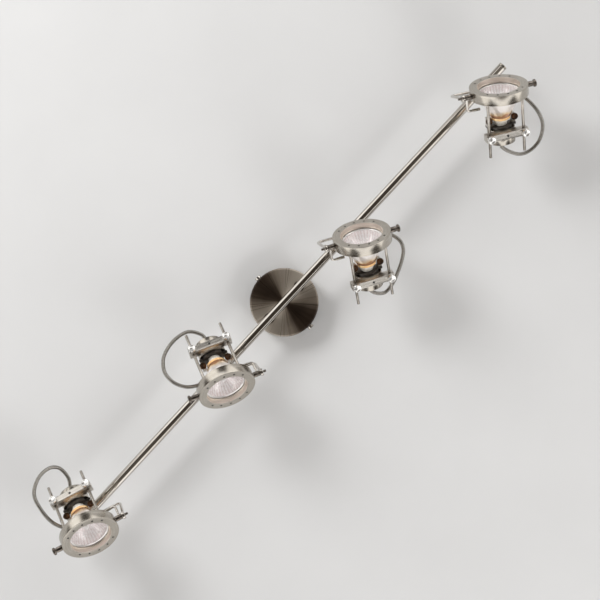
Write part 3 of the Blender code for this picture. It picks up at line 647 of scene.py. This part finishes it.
# ---------------------------------------------------------------- canopy and bar
def build_canopy():
    top = CANOPY_DEPTH
    inner = CANOPY_RADIUS - CANOPY_WALL
    inner_top = top - CANOPY_WALL
    edge = 0.0025
    outline = [(0, top)]
    for radius in (0.010, 0.020, 0.030):
        outline.append((radius, top))
    for i in range(9):
        angle = math.radians(90 - 11.25 * i)
        outline.append((CANOPY_RADIUS - edge * (1 - math.cos(angle)),
                        top - edge * (1 - math.sin(angle))))
    outline += [(CANOPY_RADIUS, 0.0003), (CANOPY_RADIUS - 0.0003, 0), (inner, 0),
                (inner, inner_top - CANOPY_WALL), (inner - CANOPY_WALL, inner_top), (0, inner_top)]
    shape = Shape().lathe(outline, 160)
    finish_piece(shape.build("canopy_shell", [NICKEL_CANOPY_PAINTED_SHEEN]), "bar", "satin_nickel", "canopy")
    for label, side in (("lower", -1), ("upper", 1)):
        place = Matrix.Translation((0, side * (CANOPY_RADIUS + GAP), SIDE_SCREW_HEIGHT))
        turn = Matrix.Rotation(math.radians(-90 * side), 4, "X")
        profile = [(0, 0.0030), (0.0012, 0.0030), (0.0014, 0.0035), (0.0034, 0.0035),
                   (0.0040, 0.0031), (0.0040, 0.0005), (0.0034, 0), (0.0020, 0),
                   (0.0020, -0.0084), (0, -0.0084)]
        screw = Shape().lathe(profile, 48, knurl=(4, 5))
        finish_piece(screw.build("side_screw_" + label, [NICKEL_BRIGHT], place @ turn), "bar",
                     "polished_nickel", "canopy_side_screw_" + label)
    dress_cad("mounting_plate", ZINC, 0.0003)
    dress_cad("terminal_block", PLASTIC, 0.0005)


def dress_cad(node, material, edge):
    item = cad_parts[node]
    item.data.materials.clear()
    item.data.materials.append(material)
    modifier = item.modifiers.new("edge", "BEVEL")
    modifier.width = edge
    modifier.segments = 2
    modifier.limit_method = "ANGLE"
    modifier.angle_limit = math.radians(50)


def build_bar():
    place = Matrix.Translation((0, 0, BAR_HEIGHT)) @ ALONG_X
    reach = BAR_LENGTH / 2 - END_CAP_LENGTH - GAP
    bore = BAR_RADIUS - BAR_WALL
    outline = rounded([(BAR_RADIUS, reach), (BAR_RADIUS, -reach), (bore, -reach), (bore, reach)],
                      0.0002, True, 2)
    tube = Shape().lathe(outline, 64, closed=True)
    finish_piece(tube.build("bar", [NICKEL_BAR], place), "bar", "polished_nickel", "bar_tube")
    for label, side in (("left", -1), ("right", 1)):
        turn = Matrix.Rotation(math.radians(90 * side), 4, "Y")
        cap_place = Matrix.Translation((side * (BAR_LENGTH / 2 - END_CAP_LENGTH), 0, BAR_HEIGHT))
        outline = rounded([(0, 0.003), (BAR_RADIUS, 0.003), (BAR_RADIUS, 0),
                           (bore - GAP, 0), (bore - GAP, -0.008), (0, -0.008)], 0.0007)
        cap = Shape().lathe(outline, 64)
        finish_piece(cap.build("end_cap_" + label, [NICKEL_TURNED], cap_place @ turn), "bar",
                     "polished_nickel", "bar_end_cap_" + label)
        foot = CANOPY_DEPTH + GAP
        outline = [(0, BAR_HEIGHT), (STANDOFF_RADIUS, BAR_HEIGHT)]
        outline += [(STANDOFF_RADIUS, foot + 0.0005), (STANDOFF_RADIUS - 0.0005, foot),
                    (0.0022, foot), (0.0022, 0.0195), (0, 0.0195)]
        post = Shape().lathe(outline, 64)
        standoff = post.build("standoff_" + label, [NICKEL_TURNED],
                              Matrix.Translation((side * STANDOFF_OFFSET, 0, 0)))
        saddle = Shape().lathe([(0, 0.02), (BAR_RADIUS + GAP, 0.02), (BAR_RADIUS + GAP, -0.02),
                                (0, -0.02)], 64, Matrix.Translation((0, 0, BAR_HEIGHT)) @ ALONG_X)
        carve(standoff, saddle)
        finish_piece(standoff, "bar", "satin_nickel", "bar_standoff_" + label)


# ---------------------------------------------------------------- one spot head
def build_stud(name, post):
    outline = rounded([(0, 0.0188), (0.004, 0.0188), (0.004, 0.0163), (0.0025, 0.0163),
                       (0.0025, 0.0097), (0.0042, 0.0097), (0.0042, 0.0058), (0.0025, 0.0058),
                       (0.0025, 0.00275), (0, 0.00275)], 0.0004)
    stud = Shape().lathe(outline, 48)
    finish_piece(stud.build(name + "stud", [NICKEL_BRIGHT], post), "bar", "polished_nickel",
                 name + "swivel_stud")


def build_yoke(name, swivel):
    foot = (-0.003, 0, -HUB_DROP)
    corner = (EAR_X, 0, -HUB_DROP)
    ear_bottom = (EAR_X, 0, -0.0032)
    shape = Shape()
    shape.sweep(bent_corner(foot, corner, ear_bottom, YOKE_BEND_RADIUS), YOKE_WIRE_RADIUS, 24)
    half = HUB_HEIGHT / 2
    hub = rounded([(HUB_RADIUS, half), (HUB_RADIUS, -half), (0.0028, -half), (0.0028, half)],
                  0.0005, True)
    shape.lathe(hub, 64, Matrix.Translation((0, 0, -HUB_DROP)), True)
    half = EAR_THICKNESS / 2
    ear = rounded([(EAR_RADIUS, half), (EAR_RADIUS, -half), (0.0025, -half), (0.0025, half)],
                  0.0005, True)
    shape.lathe(ear, 48, Matrix.Translation((EAR_X, 0, 0)) @ ALONG_X, True)
    port = rounded([(0.0029, PORT_LENGTH), (0.0029, 0.0046), (0.0024, 0.0046),
                    (0.0024, PORT_LENGTH)], 0.0003, True)
    shape.lathe(port, 40, Matrix.Translation((0, 0, -HUB_DROP)) @ ALONG_X, True)
    finish_piece(shape.build(name + "yoke_wire", [NICKEL_BRIGHT], swivel), name + "arm",
                 "polished_nickel", name + "yoke")


def build_ring(name, head):
    outline = rounded([(BORE_RADIUS, RING_FRONT), (RING_RADIUS, RING_FRONT),
                       (RING_RADIUS, RING_BACK), (BORE_RADIUS, RING_BACK), (BORE_RADIUS, 0),
                       (LIP_RADIUS, 0), (LIP_RADIUS, LIP_THICKNESS),
                       (BORE_RADIUS, LIP_THICKNESS)], 0.00035, True)
    ring = Shape().lathe(outline, 144, closed=True).build(
        name + "front_ring", [NICKEL_TURNED, BLACK, NICKEL_BORE_PAINTED_LIT], head)
    # the bore wall takes the brighter nickel copy, painted light
    for face in ring.data.polygons:
        if face.center.z > LIP_THICKNESS and face.center.xy.length < BORE_RADIUS + 0.0002:
            face.material_index = 2
    holes = Shape()
    for side in (90, 270):
        for i in range(FACE_HOLES_A_SIDE):
            angle = math.radians(side + FACE_HOLE_STEP * (i - FACE_HOLES_A_SIDE // 2))
            place = Matrix.Translation((FACE_HOLE_CIRCLE * math.cos(angle),
                                        FACE_HOLE_CIRCLE * math.sin(angle), 0))
            drill = [(0, 0.010), (FACE_HOLE_RADIUS, 0.010), (FACE_HOLE_RADIUS, 0.0040), (0, 0.0036)]
            holes.lathe(drill, 20, place, material=1)
    carve(ring, holes)
    finish_piece(ring, name + "spot", "satin_nickel", name + "ring")
    rods = Shape()
    for side in (-1, 1):
        outline = rounded([(0, -0.0014), (GUIDE_RADIUS, -0.0014),
                           (GUIDE_RADIUS, -GUIDE_END), (0, -GUIDE_END)], 0.0004)
        rods.lathe(outline, 32, Matrix.Translation((side * GUIDE_OFFSET, GUIDE_Y, 0)))
    finish_piece(rods.build(name + "guide_rods", [NICKEL_ROD], head), name + "spot",
                 "satin_nickel")


def build_pivot_parts(name, head):
    ear_end = BOSS_END + 2 * GAP + EAR_THICKNESS
    outline = rounded([(0, ear_end + 0.0037), (0.0015, ear_end + 0.0037), (0.0015, ear_end),
                       (0.0022, ear_end), (0.0022, BOSS_END), (BOSS_RADIUS, BOSS_END),
                       (BOSS_RADIUS, BOSS_END - 0.0022), (BOSS_RADIUS - 0.0004, BOSS_END - 0.0025),
                       (BOSS_RADIUS - 0.0004, BOSS_END - 0.0030), (BOSS_RADIUS, BOSS_END - 0.0033),
                       (BOSS_RADIUS, BOSS_START), (0, BOSS_START)], 0.0003)
    pin = Shape().lathe(outline, 48)
    finish_piece(pin.build(name + "pivot_boss", [NICKEL_DARK_PAINTED_SHADE], head @ ALONG_MINUS_X),
                 name + "spot", "polished_nickel", name + "pivot_pin")
    end = BOSS_END + 0.0037
    outline = rounded([(0, end), (0.0032, end), (0.00475, end - 0.0010), (0.00475, BOSS_END + 0.0008),
                       (0.0040, BOSS_END), (BOSS_RADIUS - 0.0005, BOSS_END),
                       (BOSS_RADIUS - 0.0005, BOSS_END - 0.0016), (BOSS_RADIUS, BOSS_END - 0.0019),
                       (BOSS_RADIUS, BOSS_START), (0, BOSS_START)], 0.0003)
    knob = Shape().lathe(outline, 56)
    finish_piece(knob.build(name + "knob", [NICKEL_DARK_PAINTED_SHADE], head @ ALONG_X), name + "spot",
                 "polished_nickel", name + "side_knob")
    start = (HANDLE_X, 0, -0.0015)
    corner = (HANDLE_X, 0, -HANDLE_DROP)
    tip = (HANDLE_X + HANDLE_REACH, 0, -HANDLE_DROP)
    handle = Shape().sweep(bent_corner(start, corner, tip, HANDLE_BEND_RADIUS), HANDLE_RADIUS, 24)
    sleeve = rounded([(0, 0.0102), (0.0018, 0.0102), (0.0018, 0.0002), (0.0014, 0.0)], 0.0005)
    place = Matrix.Translation((HANDLE_X + HANDLE_REACH - 0.0102, 0, -HANDLE_DROP)) @ ALONG_X
    handle.lathe(sleeve, 32, place, material=1)
    finish_piece(handle.build(name + "handle", [NICKEL_BRIGHT, NICKEL_TURNED], head),
                 name + "spot", "polished_nickel", name + "aim_handle")


def build_lamp(name, head):
    rim = LAMP_FRONT - 0.0035
    bowl = [(LAMP_RADIUS - 0.0007, rim)]
    for i in range(1, 15):
        share = i / 14
        radius = LAMP_NECK_RADIUS + (LAMP_RADIUS - 0.0007 - LAMP_NECK_RADIUS) * (1 - share ** 1.35)
        bowl.append((radius, rim + (LAMP_NECK_TOP - rim) * share))
    outline = [(LAMP_RADIUS - 0.0004, LAMP_FRONT - 0.0002), (LAMP_RADIUS, LAMP_FRONT - 0.0008),
               (LAMP_RADIUS, rim + 0.0003), *bowl]
    inside = [(radius - 0.0014, height + 0.0012) for radius, height in reversed(bowl)]
    inside = inside[:-1] + [(LAMP_RADIUS - 0.0022, LAMP_FRONT - 0.0010)]
    shell = Shape().lathe([*outline, *inside], 96, closed=True, material=0)
    back = shell.build(name + "lamp_shell", [LAMP_BACK_GLASS], head)
    finish_piece(back, name + "carriage", "lamp_glass", name + "lamp")

    facets = []
    for i in range(12):
        share = i / 11
        radius = 0.0226 - 0.0166 * share ** 1.5
        facets.append((radius, LAMP_FRONT - 0.0012 - 0.0200 * share ** 0.8))
    facets.append((0, LAMP_FRONT - 0.0214))
    mirror = Shape().lathe(list(reversed(facets)), 36)
    for face in mirror.mesh.faces:
        face.smooth = False
    finish_piece(mirror.build(name + "lamp_mirror", [REFLECTOR], head), name + "carriage",
                 "lamp_glass")
    glass = rounded([(0, LAMP_FRONT), (LAMP_RADIUS - 0.0006, LAMP_FRONT),
                     (LAMP_RADIUS - 0.0006, LAMP_FRONT - 0.0009), (0, LAMP_FRONT - 0.0009)], 0.0003)
    finish_piece(Shape().lathe(glass, 96).build(name + "lamp_front", [FRONT_GLASS], head),
                 name + "carriage", "lamp_glass")
    capsule = [(0, -0.0065), (0.0012, -0.0068), (0.0030, -0.0082), (0.0045, -0.0105),
               (0.0045, -0.0185), (0.0038, -0.0200), (0, -0.0205)]
    finish_piece(Shape().lathe(capsule, 40).build(name + "lamp_capsule", [BULB_GLASS], head),
                 name + "carriage", "lamp_glass")
    band_back = LAMP_NECK_TOP - 0.0036
    band = rounded([(0, LAMP_NECK_TOP), (LAMP_NECK_RADIUS - 0.0002, LAMP_NECK_TOP),
                    (LAMP_NECK_RADIUS, LAMP_NECK_TOP - 0.0008),
                    (LAMP_NECK_RADIUS, band_back + 0.0006), (0.0105, band_back),
                    (0, band_back)], 0.0003)
    base = Shape().lathe(band, 72)
    stem = rounded([(0, band_back + 0.0005), (0.0088, band_back + 0.0005), (0.0088, LAMP_BACK),
                    (0, LAMP_BACK)], 0.0004)
    base.lathe(stem, 64, material=2)
    for side in (-1, 1):
        pin = rounded([(0, LAMP_BACK + 0.0008), (0.0008, LAMP_BACK + 0.0008),
                       (0.0008, LAMP_BACK - 0.005), (0, LAMP_BACK - 0.005)], 0.0003)
        base.lathe(pin, 16, Matrix.Translation((side * 0.00265, 0, 0)), material=1)
    finish_piece(base.build(name + "lamp_base", [BRASS_BAND, NICKEL_BRIGHT, CERAMIC], head),
                 name + "carriage", "lamp_glass")


def build_socket(name, head):
    flange_back = CARRIER_FRONT + GAP
    flange_front = flange_back + 0.003
    half = PILLAR_X + 0.0025
    shape = Shape()
    # the flange and socket body take the near-black metal, painted shade
    shape.box((-half, -0.005, flange_back), (half, 0.005, flange_front), 0.0005, material=3)
    for side in (-1, 1):
        x = side * PILLAR_X
        shape.box((x - 0.0025, -0.004, flange_front - 0.001), (x + 0.0025, 0.004, PILLAR_TOP),
                  0.0005, material=2)
        rivet = rounded([(0, 0.0035), (0.0012, 0.0035), (0.0016, 0.0032), (0.0034, 0.0033),
                         (0.00425, 0.0024), (0.00425, 0.0), (0.0, -0.0005)], 0.0003)
        place = Matrix.Translation((side * (PILLAR_X + 0.0007), -0.004, RIVET_Z))
        shape.lathe(rivet, 40, place @ Matrix.Rotation(math.radians(90), 4, "X"), material=1)
    body = rounded([(0, flange_front - 0.001), (SOCKET_RADIUS, flange_front - 0.001),
                    (SOCKET_RADIUS, CARRIER_FRONT - 0.012), (0, CARRIER_FRONT - 0.012)], 0.0005)
    shape.lathe(body, 64, material=3)
    neck = rounded([(0, LAMP_BACK - GAP), (0.0075, LAMP_BACK - GAP), (0.0075, flange_front - 0.0005),
                    (0, flange_front - 0.0005)], 0.0004)
    shape.lathe(neck, 48)
    finish_piece(shape.build(name + "lamp_holder", [CERAMIC, BRONZE, NICKEL_BRUSHED, SHADE_DARK_METAL], head),
                 name + "carriage", "ceramic", name + "socket")


def build_carrier(name, head):
    bar = Shape().box((-CARRIER_HALF, CARRIER_OUTER_Y, CARRIER_BACK),
                      (CARRIER_HALF, CARRIER_INNER_Y, CARRIER_FRONT), 0.0007)
    item = bar.build(name + "carrier_bar", [NICKEL_BRUSHED], head)
    holes = Shape()
    holes.lathe([(0, -0.040), (SOCKET_RADIUS + GAP, -0.040), (SOCKET_RADIUS + GAP, -0.060),
                 (0, -0.060)], 64)
    for side in (-1, 1):
        holes.lathe([(0, -0.040), (GUIDE_RADIUS + GAP, -0.040), (GUIDE_RADIUS + GAP, -0.060),
                     (0, -0.060)], 24, Matrix.Translation((side * GUIDE_OFFSET, GUIDE_Y, 0)))
        tapped = Matrix.Translation((side * GUIDE_OFFSET, CARRIER_OUTER_Y, CARRIER_MID_Z))
        holes.lathe([(0, 0.001), (0.0023, 0.001), (0.0023, -0.0040), (0, -0.0040)], 24,
                    tapped @ Matrix.Rotation(math.radians(90), 4, "X"))
    centre = Matrix.Translation((0, CARRIER_OUTER_Y, CARRIER_MID_Z))
    holes.lathe([(0, 0.001), (0.0017, 0.001), (0.0017, -0.0008), (0, -0.0008)], 32,
                centre @ Matrix.Rotation(math.radians(90), 4, "X"))
    carve(item, holes)
    finish_piece(item, name + "carriage", "satin_nickel", name + "carrier")

    bore = SOCKET_RADIUS + GAP
    front = CARRIER_FRONT - 2 * GAP
    outline = [(BARREL_RADIUS, front), (BARREL_RADIUS, -0.0562), (BARREL_RADIUS - 0.0006, -0.0566),
               (BARREL_RADIUS - 0.0006, -0.0574), (BARREL_RADIUS, -0.0578),
               (BARREL_RADIUS, BARREL_BACK), (0, BARREL_BACK), (0, -0.062), (bore, -0.062),
               (bore, front)]
    barrel = Shape().lathe(rounded(outline, 0.0005, True), 112, closed=True)
    gland = rounded([(0, BARREL_BACK + 0.001), (0.0038, BARREL_BACK + 0.001), (0.0038, GLAND_END),
                     (0.0025, GLAND_END), (0, GLAND_END)], 0.0004)
    barrel.lathe(gland, 48)
    finish_piece(barrel.build(name + "barrel", [NICKEL_TURNED], head), name + "carriage",
                 "satin_nickel")
    screw = rounded([(0, -0.0001), (0.0014, -0.0001), (0.0014, -0.0008), (0, -0.0008)], 0.0002)
    small = Shape().lathe(screw, 24, centre @ Matrix.Rotation(math.radians(90), 4, "X"))
    finish_piece(small.build(name + "grub_screw", [BLACK], head), name + "carriage", "satin_nickel")


def build_thumb_screw(name, head, label, side):
    profile = [(0, 0.0038), (0.0034, 0.0038), (0.0037, 0.0040), (0.0046, 0.0040),
               (0.0050, 0.0036), (0.0050, 0.0006), (0.0046, 0.0), (0.0020, 0.0),
               (0.0020, -0.00315), (0, -0.00315)]
    place = Matrix.Translation((side * GUIDE_OFFSET, CARRIER_OUTER_Y - GAP, CARRIER_MID_Z))
    screw = Shape().lathe(profile, 72, knurl=(4, 5))
    finish_piece(screw.build(name + "thumb_" + label, [NICKEL_DISC_PAINTED_LIT],
                             head @ place @ Matrix.Rotation(math.radians(90), 4, "X")),
                 name + "clamp_" + label, "satin_nickel", name + "thumb_screw_" + label)


def build_conduit(name, swivel, head, tilt, route):
    """Ribbed hose in two pieces, a rear and a front one, both baked into world space."""
    to_swivel = Matrix.Rotation(math.radians(-tilt), 4, "X")
    start = GLAND_END - GAP
    points = [to_swivel @ Vector((0, 0, start)), to_swivel @ Vector((0, 0, start - 2 * CONDUIT_RADIUS))]
    points += [to_swivel @ (Vector(point) / 1000) for point in route]
    mouth = PORT_LENGTH + GAP
    points.append(Vector((mouth + 2 * CONDUIT_RADIUS, 0, -HUB_DROP)))
    points.append(Vector((mouth, 0, -HUB_DROP)))
    dense = smooth_route(points, 24)
    lengths = [0.0]
    for a, b in zip(dense, dense[1:]):
        lengths.append(lengths[-1] + (b - a).length)
    total = lengths[-1]
    count = round(total / RIB_STEP)
    path = []
    k = 0
    for i in range(count + 1):
        target = total * i / count
        while k < len(lengths) - 2 and lengths[k + 1] < target:
            k += 1
        share = (target - lengths[k]) / max(lengths[k + 1] - lengths[k], 1e-9)
        path.append(dense[k].lerp(dense[k + 1], share))
    radii = [CONDUIT_RADIUS * (1 - RIB_DEPTH + RIB_DEPTH * math.cos(2 * math.pi * i / 4))
             for i in range(count + 1)]
    seam = round(count * CONDUIT_SEAM / 4) * 4
    lower = Shape().sweep(path[:seam + 1], CONDUIT_RADIUS, 16, radii=radii[:seam + 1])
    upper = Shape().sweep(path[seam:], CONDUIT_RADIUS, 16, radii=radii[seam:])
    near = lower.build(name + "hose_rear", [HOSE], swivel)
    far = upper.build(name + "hose_front", [HOSE], swivel)
    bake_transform(near)
    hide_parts(name + "conduit")
    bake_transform(far)


def build_head(number, place, swivel_angle, tilt, route):
    name = f"head_{number}_"
    post = (Matrix.Translation((place * HEAD_SPACING, 0, BAR_HEIGHT))
            @ Matrix.Rotation(math.radians(STUD_LEAN), 4, "X"))
    swivel = (post @ Matrix.Translation((0, 0, PIVOT_REACH))
              @ Matrix.Rotation(math.radians(swivel_angle), 4, "Z"))
    head = swivel @ Matrix.Rotation(math.radians(-tilt), 4, "X")
    build_stud(name, post)
    build_yoke(name, swivel)
    build_ring(name, head)
    build_pivot_parts(name, head)
    build_lamp(name, head)
    build_socket(name, head)
    build_carrier(name, head)
    build_thumb_screw(name, head, "left", -1)
    build_thumb_screw(name, head, "right", 1)
    build_conduit(name, swivel, head, tilt, route)


build_stage()
build_canopy()
build_bar()
for index, (place, swivel_angle, tilt) in enumerate(HEADS):
    build_head(index + 1, place, swivel_angle, tilt, CONDUIT_ROUTES[index])
